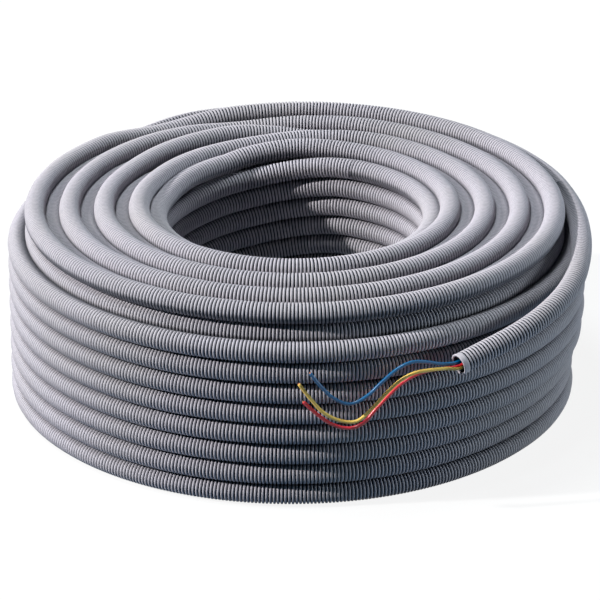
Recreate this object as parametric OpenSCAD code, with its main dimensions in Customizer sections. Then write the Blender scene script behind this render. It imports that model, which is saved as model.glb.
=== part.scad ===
// Coil of pre-wired corrugated conduit: nested turns wound in layers round an open
// eye, with the free end hanging off the outside and three wires coming out of it.

/* [Conduit] */
// Outside diameter over the ribs
conduit_d = 20; // [19:0.5:21]
// Inside diameter
bore_d = 14.1; // [13:0.1:14.5]
// Outside diameter in the grooves between the ribs
groove_d = 16; // [15.5:0.5:17.5]
// Distance from one rib to the next
rib_pitch = 3.3; // [3:0.1:4]
// Width of a rib's flat crest
rib_crest = 1.2; // [0.8:0.1:1.4]

/* [Coil] */
// Radius of the innermost turn's middle line
eye_turn_r = 130; // [120:5:155]
// Number of layers from the eye outwards, an odd number
layers = 9; // [7:2:11]
// Turns one above another in a layer
turns_high = 9; // [6:1:12]

/* [Free end] */
// Where the last turn leaves the coil, in degrees from +X
leave_az = 14; // [10:1:20]
// Length of the straight stretch at the mouth
mouth_run = 50; // [40:5:60]

/* [Wires] */
// Diameter over the insulation
wire_d = 3.2; // [2.8:0.1:3.4]

/* [Hidden] */
$fn = 72;

conduit_r = conduit_d / 2;
// Turns in one layer touch, and the turns of the next layer lie in their grooves
turn_pitch = conduit_d;
layer_step = 0.815 * conduit_d;
outer_turn_r = eye_turn_r + (layers - 1) * layer_step;
coil_r = outer_turn_r + conduit_r;
last_layer = layers - 1;
// Every second layer sits half a turn higher
function is_high(layer) = layer % 2 == 1;
function layer_r(layer) = eye_turn_r + layer * layer_step;
function foot_z(layer) = conduit_r + (is_high(layer) ? turn_pitch / 2 : 0);
function top_z(layer) = foot_z(layer) + (turns_high - 1) * turn_pitch;

// How far the solid closes the gaps between turns outside their middle lines
gap_fill = 3;

// The top turn of the outer layer lies against the turns beside and under it with
// a hair's breadth between them
last_turn_r = outer_turn_r + 0.08 * conduit_d;
last_turn_z = top_z(last_layer) + 0.03 * conduit_d;

// The free end leaves the last turn on a slack bend and comes round on a tighter one
// to a straight stretch, all in one plane that tilts down from where it leaves. A
// short straight run comes before each bend.
short_run = 5;
// The runs lap over the ends of the bends, which are a little slimmer
lap = 1;
slimmer = 0.1;
free_tilt = 12;
slack_r = 380;
slack_angle = 24;
hook_r = 180;
hook_angle = 46;

// A place on the conduit is [point, heading, direction towards the coil's middle]
function ahead(at, length) = [at[0] + length * at[1], at[1], at[2]];
function tilted(at, angle) = [at[0], at[1], cos(angle) * at[2] + sin(angle) * cross(at[1], at[2])];
function bent(at, r, angle) = [
    at[0] + r * (sin(angle) * at[1] + (1 - cos(angle)) * at[2]),
    cos(angle) * at[1] + sin(angle) * at[2],
    cos(angle) * at[2] - sin(angle) * at[1]
];
leave_at = [
    [last_turn_r * cos(leave_az), last_turn_r * sin(leave_az), last_turn_z],
    [sin(leave_az), -cos(leave_az), 0],
    [-cos(leave_az), -sin(leave_az), 0]
];
slack_at = ahead(tilted(leave_at, free_tilt), short_run);
hook_at = ahead(bent(slack_at, slack_r, slack_angle), short_run);
mouth_at = ahead(bent(hook_at, hook_r, hook_angle), mouth_run);

// The origin is under the middle of the whole outline, so the coil stands a little
// to the left of it
free_reach = slack_at[0][0] + slack_r * slack_at[2][0]
    + slack_r * norm([slack_at[1][0], slack_at[2][0]]) + conduit_r;
coil_x = (coil_r - free_reach) / 2;
mouth = mouth_at[0] + [coil_x, 0, 0];

// The last turn climbs out of the layers at the back on a bend of its own, which
// ends in degrees from +X where the turn starts. A ball closes the joint.
start_az = 110;
start_r = 230;
start_angle = 40;
start_tilt = 10;

// Middle lines of the wires, measured from the middle of the mouth
blue_route = [
    [32, 22, 10.5], [15.5, 10.5, 6.5], [0, 0, 3], [-14.5, -6.5, 4],
    [-29, -14, 9.5], [-43, -21.5, 12.5], [-56, -26.5, 7.5], [-69, -30.5, -3],
    [-82, -33.5, -15], [-97, -36.5, -21], [-111, -38, -15], [-122, -39, -3.5],
    [-132, -39, 10]
];
yellow_route = [
    [34, 21, 5.5], [17.5, 10, 1.5], [1.5, -1, -2.5], [-11.5, -7.5, 0],
    [-26.5, -15, 2], [-40, -20.5, 1.5], [-53, -25.5, -4], [-65, -29.5, -14.5],
    [-76, -32.5, -26], [-90, -35.5, -38], [-105, -37.5, -37], [-120, -39, -28.5],
    [-132, -39, -14.5], [-142, -39, -0.5]
];
red_route = [
    [31.5, 24, 5.5], [15.5, 13, 1.5], [-0.5, 2, -2.5], [-14, -4.5, -1.5],
    [-28, -11.5, -0.5], [-41, -17.5, -3], [-52.5, -22.5, -9], [-63, -26, -18.5],
    [-73, -29, -29], [-84.5, -32, -41.5], [-97, -34, -46], [-112, -36, -41.5],
    [-126, -36.5, -31], [-138, -36.5, -19]
];
wire_sides = 8;

// A smooth curve through a route: each leg gets one point more, half way along
function clamp_index(route, i) = route[max(0, min(len(route) - 1, i))];
function half_way(route, i) =
    (9 * (clamp_index(route, i) + clamp_index(route, i + 1))
        - clamp_index(route, i - 1) - clamp_index(route, i + 2)) / 16;
function smooth(route) = [
    for (i = [0 : len(route) - 2]) each [route[i], half_way(route, i)],
    route[len(route) - 1]
];
function unit(v) = v / norm(v);
function heading(path, i) = unit(clamp_index(path, i + 1) - clamp_index(path, i - 1));
function ring(path, i) =
    let (h = heading(path, i), a = unit(cross(h, [0, 1, 0])), b = cross(h, a))
    [
        for (k = [0 : wire_sides - 1])
            path[i] + wire_d / 2 * (cos(360 * k / wire_sides) * a + sin(360 * k / wire_sides) * b)
    ];

module tube_along(path) {
    rings = len(path);
    sides = wire_sides;
    walls = [
        for (i = [0 : rings - 2], k = [0 : sides - 1])
            [i * sides + k, i * sides + (k + 1) % sides,
             (i + 1) * sides + (k + 1) % sides, (i + 1) * sides + k]
    ];
    near_end = [for (k = [sides - 1 : -1 : 0]) k];
    far_end = [for (k = [0 : sides - 1]) (rings - 1) * sides + k];
    polyhedron(
        points = [for (i = [0 : rings - 1]) each ring(path, i)],
        faces = concat(walls, [near_end, far_end]),
        convexity = 6
    );
}

module wire(route) {
    translate(mouth) tube_along(smooth(route));
}

// Half section of the wound layers, to the right of the coil's axis
module wound_section() {
    // the outer layer is one turn short, because its top turn is the free end
    outer_top = top_z(last_layer) - turn_pitch;
    for (layer = [0 : last_layer]) {
        translate([layer_r(layer), foot_z(layer)]) circle(conduit_r);
        translate([layer_r(layer), layer == last_layer ? outer_top : top_z(layer)]) circle(conduit_r);
    }
    for (turn = [1 : turns_high - 2]) {
        translate([eye_turn_r, foot_z(0) + turn * turn_pitch]) circle(conduit_r);
    }
    for (turn = [1 : turns_high - 3]) {
        translate([outer_turn_r, foot_z(last_layer) + turn * turn_pitch]) circle(conduit_r);
    }
    bared_turn = [layer_r(last_layer - 1), top_z(last_layer - 1) - turn_pitch];
    translate(bared_turn) circle(conduit_r);
    polygon(concat(
        [[eye_turn_r - gap_fill, foot_z(0) + gap_fill], [eye_turn_r - gap_fill, top_z(0) - gap_fill]],
        [for (layer = [0 : last_layer - 1]) [layer_r(layer), top_z(layer)]],
        [bared_turn + [gap_fill, turn_pitch - gap_fill], bared_turn + [gap_fill, 0]],
        [[outer_turn_r + gap_fill, outer_top - gap_fill], [outer_turn_r + gap_fill, foot_z(0) + gap_fill]],
        [for (layer = [last_layer : -1 : 0]) [layer_r(layer), foot_z(layer)]]
    ));
}

// A bend of round section that starts at the origin towards -Y and turns towards -X
module bend(r, angle, section_r) {
    translate([-r, 0, 0])
        rotate([0, 0, -angle])
            rotate_extrude(angle = angle) translate([r, 0]) circle(section_r - slimmer);
}

module past_bend(r, angle) {
    translate([-r, 0, 0]) rotate([0, 0, -angle]) translate([r, 0, 0]) children();
}

module run(length, section_r) {
    translate([0, lap, 0]) rotate([90, 0, 0]) cylinder(r = section_r, h = length + 2 * lap);
}

module at_leave_point() {
    translate([0, 0, last_turn_z])
        rotate([0, 0, leave_az])
            translate([last_turn_r, 0, 0])
                children();
}

module at_slack_bend() {
    at_leave_point() rotate([0, -free_tilt, 0]) translate([0, -short_run, 0]) children();
}

module at_hook_bend() {
    at_slack_bend() past_bend(slack_r, slack_angle) translate([0, -short_run, 0]) children();
}

module at_mouth() {
    at_hook_bend() past_bend(hook_r, hook_angle) translate([0, -mouth_run, 0]) children();
}

// Outline of the ribbed straight stretch, half of it, from the mouth inwards
module ribbed_section() {
    ribs = floor(mouth_run / rib_pitch);
    flank = (rib_pitch - rib_crest) / 4;
    polygon(concat(
        [[0, 0]],
        [
            for (i = [0 : ribs - 1])
                each [
                    [conduit_r, i * rib_pitch], [conduit_r, i * rib_pitch + rib_crest],
                    [groove_d / 2, i * rib_pitch + rib_crest + flank],
                    [groove_d / 2, (i + 1) * rib_pitch - flank]
                ]
        ],
        [[conduit_r, ribs * rib_pitch], [conduit_r, mouth_run + lap], [0, mouth_run + lap]]
    ));
}

module free_end_outside() {
    at_leave_point() run(short_run, conduit_r);
    at_slack_bend() {
        bend(slack_r, slack_angle, conduit_r);
        past_bend(slack_r, slack_angle) run(short_run, conduit_r);
    }
    at_hook_bend() bend(hook_r, hook_angle, conduit_r);
    at_mouth() rotate([-90, 0, 0]) rotate_extrude() ribbed_section();
}

module free_end_bore() {
    at_hook_bend() {
        bend(hook_r, hook_angle, bore_d / 2);
        past_bend(hook_r, hook_angle) run(mouth_run, bore_d / 2);
    }
}

// The top turn of the outer layer, from where it climbs out of the layers
module last_turn() {
    translate([0, 0, last_turn_z]) {
        rotate([0, 0, start_az]) translate([last_turn_r, 0, 0]) {
            bend(last_turn_r, start_az - leave_az, conduit_r);
            sphere(conduit_r);
            rotate([-start_tilt, 0, 0]) rotate([180, 0, 0]) bend(start_r, start_angle, conduit_r);
        }
    }
}

module conduit() {
    color("slategray")
        translate([coil_x, 0, 0])
            difference() {
                union() {
                    rotate_extrude() wound_section();
                    last_turn();
                    free_end_outside();
                }
                free_end_bore();
            }
}

module blue_wire() {
    color("royalblue") wire(blue_route);
}

module yellow_wire() {
    color("gold") wire(yellow_route);
}

module red_wire() {
    color("firebrick") wire(red_route);
}

conduit();
blue_wire();
yellow_wire();
red_wire();
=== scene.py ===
import math

import bpy
import numpy as np
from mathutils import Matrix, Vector


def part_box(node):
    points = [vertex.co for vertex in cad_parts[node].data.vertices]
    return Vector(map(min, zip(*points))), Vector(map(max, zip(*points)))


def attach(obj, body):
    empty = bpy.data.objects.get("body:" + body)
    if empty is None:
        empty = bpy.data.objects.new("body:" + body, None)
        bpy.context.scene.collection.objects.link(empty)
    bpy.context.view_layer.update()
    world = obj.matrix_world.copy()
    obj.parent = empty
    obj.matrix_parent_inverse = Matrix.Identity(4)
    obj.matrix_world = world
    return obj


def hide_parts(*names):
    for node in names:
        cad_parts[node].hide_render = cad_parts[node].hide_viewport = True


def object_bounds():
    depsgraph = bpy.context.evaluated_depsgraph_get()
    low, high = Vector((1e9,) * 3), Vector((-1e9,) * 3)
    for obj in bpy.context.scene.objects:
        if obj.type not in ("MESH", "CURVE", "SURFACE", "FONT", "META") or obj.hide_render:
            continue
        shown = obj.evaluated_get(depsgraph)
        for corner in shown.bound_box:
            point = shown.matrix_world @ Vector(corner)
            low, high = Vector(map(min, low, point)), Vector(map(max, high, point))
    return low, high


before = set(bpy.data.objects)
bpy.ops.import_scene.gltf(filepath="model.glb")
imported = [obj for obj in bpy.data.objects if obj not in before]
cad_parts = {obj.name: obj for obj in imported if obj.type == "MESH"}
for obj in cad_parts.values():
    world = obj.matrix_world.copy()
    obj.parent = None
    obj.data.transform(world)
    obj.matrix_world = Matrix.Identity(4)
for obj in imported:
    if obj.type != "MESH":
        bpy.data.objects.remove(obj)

CAD_LO, CAD_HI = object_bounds()
MM = 0.001

# ---- Driving dimensions, in metres and degrees -------------------------------------

CONDUIT_D = 0.020
CONDUIT_R = CONDUIT_D / 2
GROOVE_R = 0.0080
RIB_PITCH = 0.0033
BORE_R = 0.00705
BORE_DEPTH = 0.078
EYE_TURN_R = 0.130
LAYERS = 9
TURNS_HIGH = 9
TURN_PITCH = CONDUIT_D
LAYER_STEP = 0.815 * CONDUIT_D
OUTER_TURN_R = EYE_TURN_R + (LAYERS - 1) * LAYER_STEP
COIL_R = OUTER_TURN_R + CONDUIT_R
WIRE_D = 0.0032
CORE_D = 0.0015
# How far a core stands out of its insulation, and how far it goes in
CORE_BARE = 0.0012
CORE_HELD = 0.0030

# The coil's axis stands a little to the left of the frame's origin
COIL_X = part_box("conduit")[0].x + COIL_R
AXIS = np.array([COIL_X, 0.0, 0.0])
UP = np.array([0.0, 0.0, 1.0])

# Where the turns of the outer layer climb to the next row, at the back left
CROSS_FROM = 150
CROSS_TO = 110
# How far each outer row stands out on the right, from the floor up, in millimetres
ROW_BULGE = [-5, -6, -4, 2, 4, 4, 1, 0]

# The lengths at the ends of the outer and the eye turns that have no turn above them,
# the stretch in which the turn above ends, and the one in which the free end leaves
# its neighbours
OUTER_TOP_LENGTH = 2.05
EYE_TOP_LENGTH = 0.16
COVER_FADE = 0.03
LEAVING_FADE = 0.12

# The free end
LEAVE_AZ = 14
LAST_TURN_R = OUTER_TURN_R + 0.08 * CONDUIT_D
SHORT_RUN = 0.005
FREE_TILT = 12
SLACK_R = 0.380
SLACK_ANGLE = 24
HOOK_R = 0.180
HOOK_ANGLE = 46
MOUTH_RUN = 0.050
RIM_LENGTH = 0.0060


def layer_r(layer):
    return EYE_TURN_R + layer * LAYER_STEP


def foot_z(layer):
    return CONDUIT_R + (TURN_PITCH / 2 if layer % 2 else 0)


def top_z(layer):
    return foot_z(layer) + (TURNS_HIGH - 1) * TURN_PITCH


LAST_TURN_Z = top_z(LAYERS - 1) + 0.03 * CONDUIT_D


# ---- Camera ------------------------------------------------------------------------

def make_camera():
    distance = 3.67711
    elevation = math.radians(24.148)
    target = Vector((COIL_X + 0.0049, -0.21446, 0.180))
    back = Vector((0, -math.cos(elevation), math.sin(elevation)))
    data = bpy.data.cameras.new("camera")
    data.lens = 246.96
    data.sensor_width = 36
    data.clip_start = 0.05
    data.clip_end = 60
    camera = bpy.data.objects.new("camera", data)
    camera.location = target + back * distance
    camera.rotation_mode = "QUATERNION"
    camera.rotation_quaternion = (-back).to_track_quat("-Z", "Y")
    bpy.context.scene.collection.objects.link(camera)
    bpy.context.scene.camera = camera


# ---- Lines that tubes follow -------------------------------------------------------

# Points on a turn's middle line are this many degrees apart
LINE_STEP = 0.5


def unit(v):
    return v / np.linalg.norm(v, axis=-1, keepdims=True)


def easy_curve(x, xs, ys):
    """A curve through the given places that never swings past them."""
    xs, ys = np.asarray(xs, float), np.asarray(ys, float)
    step, rise = np.diff(xs), np.diff(ys) / np.diff(xs)
    slope = np.zeros(len(xs))
    both = rise[:-1] * rise[1:] > 0
    a, b = 2 * step[1:] + step[:-1], step[1:] + 2 * step[:-1]
    with np.errstate(divide="ignore", invalid="ignore"):
        mean = (a + b) / (a / rise[:-1] + b / rise[1:])
    slope[1:-1] = np.where(both, mean, 0)
    i = np.clip(np.searchsorted(xs, x) - 1, 0, len(step) - 1)
    t = (x - xs[i]) / step[i]
    h = step[i]
    return (
        ys[i] * (1 + 2 * t) * (1 - t) ** 2
        + slope[i] * h * t * (1 - t) ** 2
        + ys[i + 1] * t * t * (3 - 2 * t)
        - slope[i + 1] * h * t * t * (1 - t)
    )


def turn_line(stations, closed=False):
    """Middle line of turns round the coil's axis. A station is (direction, radius,
    height) in degrees and millimetres, and the directions run on clockwise."""
    at, r, z = (np.array(column, float) for column in zip(*stations))
    along = np.arange(0, at[0] - at[-1] + 1e-6, LINE_STEP)
    if closed:
        # the places repeat a turn before and after, so the ends meet smoothly
        where = np.concatenate([at[:-1] + 360, at, at[1:] - 360])
        r, z = (np.concatenate([v[:-1], v, v[1:]]) for v in (r, z))
    else:
        where = at
    radius = easy_curve(along, at[0] - where, r) * MM
    height = easy_curve(along, at[0] - where, z) * MM
    angle = np.radians(at[0] - along)
    return np.stack([COIL_X + radius * np.cos(angle), radius * np.sin(angle), height], 1)


def ring_line(r, z, *dents):
    """A closed turn. A dent is (direction, change of radius, change of height)."""
    dents = sorted(dents, reverse=True)
    stations = [(180, r, z)]
    stations += [(at, r + out, z + up) for at, out, up in dents]
    return turn_line(stations + [(-180, r, z)], closed=True)


def ahead(place, length, steps=2):
    """A place is (point, heading, direction towards the coil's middle)."""
    at, heading, inward = place
    line = [at + length * heading * t for t in np.linspace(0, 1, steps + 1)[1:]]
    return (line[-1], heading, inward), line


def bent(place, r, angle):
    at, heading, inward = place
    line = []
    for t in np.linspace(0, math.radians(angle), angle + 1)[1:]:
        line.append(at + r * (math.sin(t) * heading + (1 - math.cos(t)) * inward))
    t = math.radians(angle)
    turned = math.cos(t) * heading + math.sin(t) * inward
    return (line[-1], turned, math.cos(t) * inward - math.sin(t) * heading), line


def tilted(place, angle):
    at, heading, inward = place
    t = math.radians(angle)
    return at, heading, math.cos(t) * inward + math.sin(t) * np.cross(heading, inward)


def free_end_line():
    """From where the last turn leaves the coil to the mouth, and the mouth's place."""
    a = math.radians(LEAVE_AZ)
    out = np.array([math.cos(a), math.sin(a), 0])
    heading = np.array([math.sin(a), -math.cos(a), 0])
    start = AXIS + LAST_TURN_R * out + LAST_TURN_Z * UP
    place = tilted((start, heading, -out), FREE_TILT)
    place, run_1 = ahead(place, SHORT_RUN)
    place, slack = bent(place, SLACK_R, SLACK_ANGLE)
    place, run_2 = ahead(place, SHORT_RUN)
    place, hook = bent(place, HOOK_R, HOOK_ANGLE)
    place, run_3 = ahead(place, MOUTH_RUN, 25)
    return np.array(run_1 + slack + run_2 + hook + run_3), place


def measured(line):
    """How far along a line each of its points is."""
    return np.concatenate([[0], np.cumsum(np.linalg.norm(np.diff(line, axis=0), axis=1))])


def places_on(line, along):
    """Points on a line at the given distances, with the sideways and upward
    directions of a ring round the line there."""
    s = measured(line)
    at = np.stack([np.interp(along, s, line[:, i]) for i in range(3)], 1)
    heading = unit(np.gradient(line, s, axis=0))
    heading = unit(np.stack([np.interp(along, s, heading[:, i]) for i in range(3)], 1))
    side = unit(np.cross(UP, heading))
    return at, side, np.cross(heading, side)


# ---- Meshes ------------------------------------------------------------------------

def mesh_piece(name, points, faces, marks=None, smooth=True):
    """faces is an array of quads. marks are numbers that the points carry, by name."""
    mesh = bpy.data.meshes.new(name)
    mesh.vertices.add(len(points))
    mesh.vertices.foreach_set("co", points.astype(np.float32).ravel())
    mesh.loops.add(faces.size)
    mesh.loops.foreach_set("vertex_index", faces.astype(np.int32).ravel())
    mesh.polygons.add(len(faces))
    starts = np.arange(0, faces.size, faces.shape[1], dtype=np.int32)
    mesh.polygons.foreach_set("loop_start", starts)
    mesh.polygons.foreach_set("use_smooth", np.full(len(faces), smooth))
    mesh.update(calc_edges=True)
    mesh.validate()
    for mark, values in (marks or {}).items():
        layer = mesh.attributes.new(mark, "FLOAT", "POINT")
        layer.data.foreach_set("value", values.astype(np.float32))
    piece = bpy.data.objects.new(name, mesh)
    bpy.context.scene.collection.objects.link(piece)
    return piece


def wall_faces(rings, sides, closed):
    """The quads between rings of points, each ring with the given number of sides."""
    i = np.arange(rings if closed else rings - 1)[:, None]
    k = np.arange(sides)[None]
    j, m = (i + 1) % rings, (k + 1) % sides
    corners = (i * sides + k, i * sides + m, j * sides + m, j * sides + k)
    return np.stack(np.broadcast_arrays(*corners), -1).reshape(-1, 4)


def tube_mesh(line, along, radii, angles, closed=False):
    """Rings of the given radii round a line, joined into a tube."""
    at, side, up = places_on(line, along)
    a = np.radians(angles)
    ring = side[:, None] * np.cos(a)[None, :, None] + up[:, None] * np.sin(a)[None, :, None]
    points = at[:, None] + radii[:, None, None] * ring
    return points.reshape(-1, 3), wall_faces(len(along), len(angles), closed)


def capped(points, faces, sides):
    """Adds both end faces to an open tube, on points of their own, so that the ends
    are crisp."""
    k = np.arange(0, sides, 2)
    for ring, order in ((points[:sides], -1), (points[-sides:], 1)):
        first = len(points)
        quads = np.stack([k, k + 1, (k + 2) % sides, np.full(len(k), sides)], 1)[:, ::order]
        points = np.vstack([points, ring, ring.mean(0)])
        faces = np.vstack([faces, first + quads])
    return points, faces


def joined(parts):
    """Several (points, faces, marks) made into one."""
    points, faces, first = [], [], 0
    for p, f, _ in parts:
        points.append(p)
        faces.append(f + first)
        first += len(p)
    marks = {name: np.concatenate([m[name] for _, _, m in parts]) for name in parts[0][2]}
    return np.vstack(points), np.vstack(faces), marks


# A rib's rings as (share of the pitch, groove depth): a flat crest and a V groove, or
# for turns underneath just a crest and a groove
FULL_RIB = [(0, 0), (0.5, 0), (0.75, 1)]
PLAIN_RIB = [(0, 0), (0.5, 1)]


def nook_shade(angles, nooks):
    """How much shade is painted on a ring: 1 where it touches the next turn, falling to 0
    some way round from there.
    """
    gap = np.abs((np.array(angles)[:, None] - np.array(nooks)[None] + 180) % 360 - 180)
    full_to, gone_at = 6, 36
    return np.clip((gone_at - gap.min(1)) / (gone_at - full_to), 0, 1)


def ribbed_tube(line, angles, nooks, closed=False, rib=FULL_RIB, top_length=0, top_nooks=()):
    """A corrugated tube along a line. nooks are the directions of its neighbours, and
    top_nooks those on its last part, top_length long, with no turn above it."""
    length = measured(line)[-1]
    ribs = round(length / RIB_PITCH)
    steps, depth = np.array(rib, float).T
    along = ((np.arange(ribs)[:, None] + steps[None]) * length / ribs).ravel()
    groove = np.tile(depth, ribs)
    if not closed:
        along = np.append(along, length)
        groove = np.append(groove, 0)
    radii = CONDUIT_R - (CONDUIT_R - GROOVE_R) * groove
    points, faces = tube_mesh(line, along, radii, angles, closed)
    # painted shade where the turn touches its neighbours
    dim = np.tile(nook_shade(angles, nooks), (len(along), 1))
    if top_length:
        covered = np.clip((length - top_length - along) / COVER_FADE, 0, 1)[:, None]
        dim = covered * dim + (1 - covered) * nook_shade(angles, top_nooks)
    # these marks say where shade is painted: in the grooves, and where the turns touch
    marks = {"groove_depth": np.repeat(groove, len(angles)), "nook_shade": dim.ravel()}
    if not closed:
        points, faces = capped(points, faces, len(angles))
        marks = {name: np.pad(m, (0, len(points) - len(m))) for name, m in marks.items()}
    return points, faces, marks


# ---- Shader helpers ----------------------------------------------------------------

class Value:
    """A socket that can stand in a sum."""

    def __init__(self, graph, socket):
        self.graph = graph
        self.socket = socket

    def __add__(self, other):
        return self.graph.maths("ADD", self, other)

    def __radd__(self, other):
        return self.graph.maths("ADD", other, self)

    def __mul__(self, other):
        return self.graph.maths("MULTIPLY", self, other)

    def __rmul__(self, other):
        return self.graph.maths("MULTIPLY", other, self)


class Graph:
    """The nodes of one material or of the world."""

    def __init__(self, owner):
        owner.use_nodes = True
        self.tree = owner.node_tree
        self.tree.nodes.clear()

    def node(self, kind, settings=None, values=None, out=0):
        """Adds a node and gives back one of its outputs. settings are set first, with a
        ramp's stops as (place, brightness). values are numbers, colours or sockets for
        its inputs."""
        made = self.tree.nodes.new(kind)
        for name, value in (settings or {}).items():
            if name == "stops":
                for point, (place, bright) in zip(made.color_ramp.elements, value):
                    point.position = place
                    point.color = (bright, bright, bright, 1)
            else:
                setattr(made, name, value)
        for name, value in (values or {}).items():
            if isinstance(value, Value):
                self.tree.links.new(value.socket, made.inputs[name])
            else:
                made.inputs[name].default_value = value
        return Value(self, made.outputs[out]) if made.outputs else None

    def maths(self, operation, a, b):
        return self.node("ShaderNodeMath", {"operation": operation}, {0: a, 1: b})

    def mark(self, name):
        """The numbers of that name that the mesh's points carry."""
        return self.node("ShaderNodeAttribute", {"attribute_name": name}, out="Fac")

    def ramp(self, value, low, high):
        """Goes evenly from one stop to the other."""
        return self.node("ShaderNodeValToRGB", {"stops": (low, high)}, {0: value})

    def mix(self, factor, a, b):
        return self.node("ShaderNodeMix", {"data_type": "RGBA"}, {0: factor, 6: a, 7: b}, out=2)

    def noise(self, scale, detail=2.0, roughness=0.5):
        where = self.node("ShaderNodeTexCoord", out="Object")
        values = {"Vector": where, "Scale": scale, "Detail": detail, "Roughness": roughness}
        return self.node("ShaderNodeTexNoise", None, values)

    def bump(self, height, strength, distance):
        values = {"Height": height, "Strength": strength, "Distance": distance}
        return self.node("ShaderNodeBump", None, values)

    def principled(self, values):
        self.finish(self.node("ShaderNodeBsdfPrincipled", None, values))

    def finish(self, shader, kind="ShaderNodeOutputMaterial"):
        self.node(kind, None, {"Surface": shader})


def tone(r, g, b):
    """A colour as painters give it, 0 to 255, made linear."""
    darkest = 10
    linear = [
        ((c / 255 + 0.055) / 1.055) ** 2.4 if c > darkest else c / 255 / 12.92
        for c in (r, g, b)
    ]
    return (*linear, 1.0)


# ---- Materials ---------------------------------------------------------------------

CREST_GREY = tone(189, 184, 192)
WORN_GREY = tone(150, 150, 160)
DUSTY_GREY = tone(179, 175, 172)
# grey of the painted shade where the turns touch
NOOK_SHADE_GREY = tone(30, 44, 56)
# near-black painted shade for the grooves, the inside of the mouth and the bore
GROOVE_SHADE_GREY = tone(6, 19, 30)


def conduit_plastic():
    """Satin grey, worn and dusty in places, with shade painted dark into the grooves
    and where the turns touch."""
    material = bpy.data.materials.new("conduit_plastic")
    g = Graph(material)
    cloud = g.noise(7.0, 3.0)
    speck = g.noise(260.0, 3.0, 0.6)
    dusty = g.mix(g.ramp(cloud, (0.42, 0.0), (0.68, 0.35)), CREST_GREY, DUSTY_GREY)
    worn = g.mix(g.ramp(speck, (0.35, 0.25), (0.55, 0.0)), dusty, WORN_GREY)
    # painted shade where the turns touch
    touch_shade = 0.8 * g.ramp(g.mark("nook_shade"), (0.1, 0.0), (0.9, 1.0))
    shaded = g.mix(touch_shade, worn, NOOK_SHADE_GREY)
    # painted shade in the grooves and the bore, by groove depth
    shade = g.ramp(g.mark("groove_depth"), (0.05, 0.0), (0.55, 1.0))
    g.principled({
        "Base Color": g.mix(shade, shaded, GROOVE_SHADE_GREY),
        "Roughness": 0.40 + 0.16 * cloud + 0.10 * shade,
        "Normal": g.bump(speck, 0.12, 0.0004),
        "Specular IOR Level": 0.05,
    })
    return material


def inner_shade_plastic():
    """The turns deep in the coil, which only show as dark gaps. Their plastic is painted
    dark grey as shade.
    """
    material = bpy.data.materials.new("inner_shade_plastic")
    g = Graph(material)
    cloud = g.noise(30.0)
    g.principled({
        # dark greys painted as shade, far below the conduit's own grey
        "Base Color": g.mix(cloud, tone(34, 38, 46), tone(52, 56, 66)),
        "Roughness": 0.7 + 0.1 * cloud,
    })
    return material


def wire_insulation(name, colour, shaded):
    material = bpy.data.materials.new(name)
    g = Graph(material)
    cloud = g.noise(60.0, 3.0)
    scuff = g.noise(700.0, 2.0)
    g.principled({
        # colour and shaded are two tones of the insulation, which the cloud noise mixes in
        # random patches
        "Base Color": g.mix(g.ramp(cloud, (0.4, 0.0), (0.7, 0.6)), colour, shaded),
        "Roughness": 0.20 + 0.08 * cloud,
        "Normal": g.bump(scuff, 0.06, 0.0002),
        "Specular IOR Level": 0.4,
    })
    return material


def copper():
    material = bpy.data.materials.new("copper")
    g = Graph(material)
    grain = g.noise(900.0, 2.0)
    g.principled({
        "Base Color": g.mix(grain, tone(214, 150, 118), tone(188, 116, 84)),
        "Roughness": 0.28 + 0.2 * grain,
        "Metallic": 1.0,
    })
    return material


# ---- Wires -------------------------------------------------------------------------

# Middle lines, in millimetres from the middle of the mouth
BLUE_ROUTE = [
    (32, 22, 10.5), (15.5, 10.5, 6.5), (0, 0, 3), (-14.5, -6.5, 4),
    (-29, -14, 9.5), (-43, -21.5, 12.5), (-56, -26.5, 7.5), (-69, -30.5, -3),
    (-82, -33.5, -15), (-97, -36.5, -21), (-111, -38, -15), (-122, -39, -3.5),
    (-132, -39, 10),
]
YELLOW_ROUTE = [
    (34, 21, 5.5), (17.5, 10, 1.5), (1.5, -1, -2.5), (-11.5, -7.5, 0),
    (-26.5, -15, 2), (-40, -20.5, 1.5), (-53, -25.5, -4), (-65, -29.5, -14.5),
    (-76, -32.5, -26), (-90, -35.5, -38), (-105, -37.5, -37), (-120, -39, -28.5),
    (-132, -39, -14.5), (-142, -39, -0.5),
]
RED_ROUTE = [
    (31.5, 24, 5.5), (15.5, 13, 1.5), (-0.5, 2, -2.5), (-14, -4.5, -1.5),
    (-28, -11.5, -0.5), (-41, -17.5, -3), (-52.5, -22.5, -9), (-63, -26, -18.5),
    (-73, -29, -29), (-84.5, -32, -41.5), (-97, -34, -46), (-112, -36, -41.5),
    (-126, -36.5, -31), (-138, -36.5, -19),
]


def smooth_route(route, mouth):
    """The rounded curve through a route's points."""
    steps = 8
    p = np.array(route) * MM + mouth
    p = np.vstack([p[:1], p, p[-1:]])
    line = []
    for i in range(1, len(p) - 2):
        before, a, b, after = p[i - 1:i + 3]
        for t in np.arange(steps) / steps:
            line.append(0.5 * (2 * a + (b - before) * t
                               + (2 * before - 5 * a + 4 * b - after) * t * t
                               + (3 * a - before - 3 * b + after) * t ** 3))
    return np.array(line + [p[-2]])


def cut_tube(name, line, rings, diameter, edge, cut_r, material):
    """A plain round tube along a line, drawn in to cut_r over its cut edge."""
    angles = np.arange(0, 360, 30)
    length = measured(line)[-1]
    along = np.append(np.linspace(0, length - edge, rings), length)
    radii = np.full(len(along), diameter / 2)
    radii[-1] = cut_r
    points, faces = capped(*tube_mesh(line, along, radii, angles), len(angles))
    piece = mesh_piece(name, points, faces)
    piece.data.materials.append(material)
    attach(piece, "root")
    return piece


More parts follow.
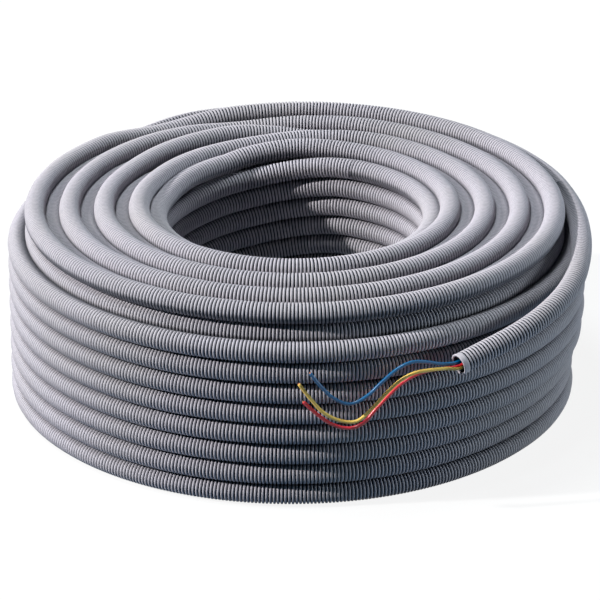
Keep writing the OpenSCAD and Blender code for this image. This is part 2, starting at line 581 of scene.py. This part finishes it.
def wire_piece(colour, route, mouth, insulation, metal):
    """One insulated wire with the cut end of its core."""
    line = smooth_route(route, mouth)
    rings = int(measured(line)[-1] / (WIRE_D / 2))
    wire = cut_tube(colour + "_wire_insulation", line, rings, WIRE_D, 0.0004,
                    0.42 * WIRE_D, insulation)
    tip, heading = line[-1], unit(line[-1] - line[-2])
    core_line = np.array([tip - CORE_HELD * heading, tip + CORE_BARE * heading])
    core = cut_tube(colour + "_wire_core", core_line, 2, CORE_D, 0.0003,
                    0.40 * CORE_D, metal)
    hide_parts(colour + "_wire")


def make_wires(mouth):
    metal = copper()
    blue = wire_insulation("blue_insulation", tone(0, 94, 142), tone(0, 78, 126))
    yellow = wire_insulation("yellow_insulation", tone(255, 216, 108), tone(255, 198, 84))
    red = wire_insulation("red_insulation", tone(214, 50, 66), tone(196, 38, 54))
    wire_piece("blue", BLUE_ROUTE, mouth, blue, metal)
    wire_piece("yellow", YELLOW_ROUTE, mouth, yellow, metal)
    wire_piece("red", RED_ROUTE, mouth, red, metal)


# ---- Conduit -----------------------------------------------------------------------

# Directions of the corners of a ring, in degrees from outwards, turning upwards. The
# sides that show get the most of them.
OUTWARD = [-105, -82, -60, -38, -18, 2, 22, 42, 64, 88, 130, 215]
INWARD = [0, 50, 92, 116, 138, 158, 178, 198, 218, 240, 268, 310]
UPWARD = [-45, -12, 10, 32, 54, 76, 98, 120, 142, 164, 190, 235]
DOWNWARD = [-170, -140, -115, -90, -65, -40, -10, 35, 90, 145]
ALL_ROUND = list(np.arange(0, 360, 22.5))

# Directions in which a ring touches its neighbours
STACKED = [90, -90]
OUTER_TOPMOST = [115, 150, -90]
EYE_TOPMOST = [30, -90]
NESTED = [-25, 205]
NESTED_BELOW = [20, 160]


def mm(value):
    return value / MM


def outer_rows(first, last):
    """Rows of the outer layer, counted from the floor, each climbing to the next."""
    r = mm(OUTER_TURN_R)
    stations = []
    for row in range(first, last + 1):
        z = mm(foot_z(LAYERS - 1)) + row * mm(TURN_PITCH)
        out = r + ROW_BULGE[row]
        turn = [(CROSS_TO, r), (60, r), (5, out), (-35, out), (-100, r), (CROSS_FROM - 360, r)]
        stations += [(at - 360 * row, radius, z) for at, radius in turn]
    return stations


def lower_outer_line():
    """The lower rows. Both ends are hidden, one in the coil, one in the next row."""
    stations = outer_rows(0, 3)
    r, z = stations[0][1:]
    lead_in = (stations[0][0] + 40, r - 14, z + 14)
    handed_on = (stations[-1][0] - 40, r, stations[-1][2] + mm(TURN_PITCH))
    return turn_line([lead_in] + stations + [handed_on])


def upper_outer_line():
    """The upper rows, and the last turn up to where the free end starts."""
    stations = outer_rows(4, 7)
    for at in (CROSS_TO, LEAVE_AZ):
        stations.append((at - 360 * 8, mm(LAST_TURN_R), mm(LAST_TURN_Z)))
    return turn_line(stations)


def eye_line():
    """The rows round the eye, each climbing to the next."""
    r = mm(EYE_TURN_R)
    stations = [(120, r + 14, mm(foot_z(0)) + 14)]
    for row in range(TURNS_HIGH - 1):
        z = mm(foot_z(0)) + row * mm(TURN_PITCH)
        turn = 360 * row
        stations += [(64 - turn, r, z), (-202 - turn, r, z), (-245 - turn, r, z + 6.5)]
    stations.append((64 - 360 * (TURNS_HIGH - 1), r, mm(top_z(0))))
    return turn_line(stations)


def inner_top_line():
    """The top turn of the eye, which climbs on to the second layer, then over the
    third to the fourth, and sinks into the fifth."""
    first, second, fourth, fifth = (mm(layer_r(i)) for i in (0, 1, 3, 4))
    low, high = mm(top_z(0)), mm(top_z(1))
    return turn_line([
        (64, first, low), (-195, first, low), (-224, first + 5, low + 3),
        (-240, first + 8, low + 3.5), (-250, first + 10.5, low + 6.5), (-275, second, high),
        (-560, second, high), (-595, second + 5.5, high), (-611, second + 9, high),
        (-620, second + 13, high), (-634, second + 22, high), (-660, fourth, high),
        (-925, fourth, high), (-961, fourth + 12, high - 1), (-972, fourth + 16, high - 2),
        (-985, fourth + 18, low + 3), (-995, fifth, low), (-1290, fifth, low),
        (-1340, fifth + 3, low - 22),
    ])


def third_layer_line():
    """The third layer's top turn dips where the second layer's crosses it."""
    return ring_line(mm(layer_r(2)), mm(top_z(2)),
                     (150, 0, -1), (125, 1, -10), (85, 0, -14), (55, 0, 0))


def fourth_layer_line():
    """The fourth layer's second turn shows where the top one has crossed over."""
    r, z = mm(layer_r(3)), mm(top_z(3) - TURN_PITCH)
    return turn_line([(185, r, z), (30, r, z)])


def outer_top_lines():
    """The top turns of the sixth, seventh and eighth layers and the eighth's second."""
    sixth, seventh, eighth = (mm(layer_r(i)) for i in (5, 6, 7))
    low, high = mm(top_z(0)), mm(top_z(1))
    return [
        ring_line(sixth, high,
                  (150, 0, 0), (136, 0, 0), (120, 1, -2), (105, 4, -7), (90, 2, -3), (70, 0, 0)),
        ring_line(seventh, low, (140, 0, 0), (105, 0, -8), (70, 0, 0)),
        ring_line(eighth, high, (160, 0, 0), (142, -2, 0), (123, -3, -7), (105, 0, -2),
                  (84, 1, 0), (50, 2, 0), (15, 0, 0)),
        ring_line(eighth, high - mm(TURN_PITCH)),
    ]


def bottom_lines():
    return [ring_line(mm(layer_r(i)), mm(foot_z(i))) for i in range(1, LAYERS - 1)]


def conduit_piece(name, parts, material):
    """One piece of the conduit, made of (points, faces, marks)."""
    points, faces, marks = joined(parts)
    piece = mesh_piece(name, points, faces, marks)
    piece.data.materials.append(material)
    return piece


def free_end_tube(line):
    """The corrugated free end, with a plain rim at its mouth and an open bore."""
    length = measured(line)[-1]
    ribs = round((length - RIM_LENGTH) / RIB_PITCH)
    # each rib: two rings on its crest and two at the foot of its groove
    steps, depth = np.array([0, 0.46, 0.58, 0.88]), np.array([0, 0, 1, 1])
    along = ((np.arange(ribs)[:, None] + steps[None]) * (length - RIM_LENGTH) / ribs).ravel()
    groove = np.tile(depth, ribs)
    radii = CONDUIT_R - (CONDUIT_R - GROOVE_R) * groove
    # the rim flares a little and is rounded over: (back from the mouth, radius, painted shade)
    back, rim_radii, rim_groove = np.array([
        (6.0, 10.0, 0), (4.0, 9.9, 0), (2.8, 9.9, 0), (1.0, 10.3, 0), (0.3, 10.2, 0),
        (0.0, 9.6, 0), (0.2, 8.6, 0), (1.2, 7.9, 0.5), (2.8, 7.4, 1),
    ]).T
    # then the bore, ribbed too, and painted dark as shade all through, as is its closed end
    deep = np.arange(0.0036, BORE_DEPTH, RIB_PITCH / 4)
    wave = np.tile(depth, len(deep))[:len(deep)]
    bore_radii = BORE_R + (GROOVE_R - BORE_R) * 1.4 * wave
    along = np.concatenate([along, length - back * MM, length - deep])
    radii = np.concatenate([radii, rim_radii * MM, bore_radii])
    groove = np.concatenate([groove, rim_groove, np.ones(len(deep))])
    sides = len(ALL_ROUND)
    points, faces = capped(*tube_mesh(line, along, radii, ALL_ROUND), sides)
    cap = sides + 1
    groove = np.concatenate([np.repeat(groove, sides), np.zeros(cap), np.ones(cap)])
    # it leaves its neighbours little by little, and the shade painted where it touches them
    # fades out
    near = np.clip(1 - along / LEAVING_FADE, 0, 1)[:, None] * nook_shade(ALL_ROUND, OUTER_TOPMOST)
    return points, faces, {"groove_depth": groove, "nook_shade": np.pad(near.ravel(), (0, 2 * cap))}


def inner_turns_piece(material):
    """A plain ring that stands for the turns inside the coil, behind the ones that
    show, in plastic painted dark as shade."""
    low, high = 0.016, top_z(0) - 0.012
    in_r, out_r = EYE_TURN_R + 0.003, OUTER_TURN_R - 0.004
    outline = [(in_r, low), (in_r, high), (OUTER_TURN_R - 0.016, high),
               (out_r, high - 0.014), (out_r, low)]
    turns = np.radians(np.arange(0, 360, 3))
    points = np.array([
        (COIL_X + r * math.cos(a), r * math.sin(a), z) for a in turns for r, z in outline
    ])
    faces = wall_faces(len(turns), len(outline), closed=True)
    piece = mesh_piece("inner_turns", points, faces, smooth=False)
    piece.data.materials.append(material)
    return piece


def make_conduit(free_line):
    plastic = conduit_plastic()
    lower, upper, eye = lower_outer_line(), upper_outer_line(), eye_line()
    lower_rows = ribbed_tube(lower, OUTWARD, STACKED)
    upper_rows = ribbed_tube(upper, OUTWARD, STACKED,
                             top_length=OUTER_TOP_LENGTH, top_nooks=OUTER_TOPMOST)
    eye_rows = ribbed_tube(eye, INWARD, STACKED,
                           top_length=EYE_TOP_LENGTH, top_nooks=EYE_TOPMOST)
    inner_top = [
        ribbed_tube(inner_top_line(), UPWARD, NESTED),
        ribbed_tube(third_layer_line(), UPWARD, NESTED, closed=True),
        ribbed_tube(fourth_layer_line(), UPWARD, NESTED),
    ]
    outer_top = [ribbed_tube(line, UPWARD, NESTED, closed=True) for line in outer_top_lines()]
    bottom = [
        ribbed_tube(line, DOWNWARD, NESTED_BELOW, closed=True, rib=PLAIN_RIB)
        for line in bottom_lines()
    ]
    made = [
        conduit_piece("outer_turns_lower", [lower_rows], plastic),
        conduit_piece("outer_turns_upper", [upper_rows], plastic),
        conduit_piece("free_end", [free_end_tube(np.vstack([upper[-1:], free_line]))], plastic),
        conduit_piece("eye_turns", [eye_rows], plastic),
        conduit_piece("inner_top_turns", inner_top, plastic),
        conduit_piece("outer_top_turns", outer_top, plastic),
        conduit_piece("bottom_turns", bottom, plastic),
        inner_turns_piece(inner_shade_plastic()),
    ]
    for piece in made:
        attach(piece, "root")
        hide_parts("conduit")


# ---- Floor and light ---------------------------------------------------------------

def seen_directly(g):
    """1 for the camera and for what gloss and glass show."""
    camera, glossy, through = (
        g.node("ShaderNodeLightPath", out=name)
        for name in ("Is Camera Ray", "Is Glossy Ray", "Is Transmission Ray")
    )
    return g.maths("MAXIMUM", g.maths("MAXIMUM", camera, glossy), through)


# What shows white lights the object only a little, as dark paper and a dim sky would
WHITE = (1, 1, 1, 1)
PAPER_SEEN = (0.95, 0.95, 0.95, 1)
PAPER_UNSEEN = (0.08, 0.13, 0.19, 1)
SKY_UNSEEN = (0.35, 0.70, 1.0, 1)
SKY_STRENGTH = 0.022
# How much of the floor's white is its own, so that the object's shadow stays faint
PAPER_GLOW = 0.88


def make_floor():
    half = 6.0
    z = CAD_LO.z - 0.0005
    points = np.array([(-half, -half, z), (half, -half, z), (half, half, z), (-half, half, z)])
    floor = mesh_piece("floor", points, np.array([[0, 1, 2, 3]]), smooth=False)
    material = bpy.data.materials.new("floor_paper")
    g = Graph(material)
    seen = seen_directly(g)
    paper_tone = g.mix(seen, PAPER_UNSEEN, PAPER_SEEN)
    paper = g.node("ShaderNodeBsdfDiffuse", None, {"Color": paper_tone})
    white = g.node("ShaderNodeEmission", None, {"Color": WHITE, "Strength": 1.0})
    g.finish(g.node("ShaderNodeMixShader", None, {0: PAPER_GLOW * seen, 1: paper, 2: white}))
    floor.data.materials.append(material)


def make_world():
    world = bpy.data.worlds.new("sky")
    bpy.context.scene.world = world
    g = Graph(world)
    fill = g.node("ShaderNodeBackground", None, {"Color": SKY_UNSEEN, "Strength": SKY_STRENGTH})
    white = g.node("ShaderNodeBackground", None, {"Color": WHITE, "Strength": 1.0})
    shader = g.node("ShaderNodeMixShader", None, {0: seen_directly(g), 1: fill, 2: white})
    g.finish(shader, "ShaderNodeOutputWorld")


def lamp(name, azimuth, elevation, strength, spread, colour):
    """A far lamp. Directions are in degrees, from +X and above the floor."""
    a, e = math.radians(azimuth), math.radians(elevation)
    towards = Vector((math.cos(a) * math.cos(e), math.sin(a) * math.cos(e), math.sin(e)))
    data = bpy.data.lights.new(name, "SUN")
    data.energy = strength
    data.angle = math.radians(spread)
    data.color = colour
    made = bpy.data.objects.new(name, data)
    made.rotation_mode = "QUATERNION"
    made.rotation_quaternion = towards.to_track_quat("Z", "Y")
    bpy.context.scene.collection.objects.link(made)


def make_lamps():
    lamp("key_lamp", 187, 31, 4.2, 2.5, (1.0, 0.99, 0.98))
    lamp("top_lamp", 165, 72, 2.0, 20, (0.88, 0.96, 1.0))
    lamp("edge_lamp", 3, 8, 1.5, 12, (0.82, 0.94, 1.0))


make_camera()
FREE_LINE, MOUTH = free_end_line()
make_wires(MOUTH[0])
make_conduit(FREE_LINE)
make_floor()
make_world()
make_lamps()
bpy.context.scene.view_settings.view_transform = "Standard"
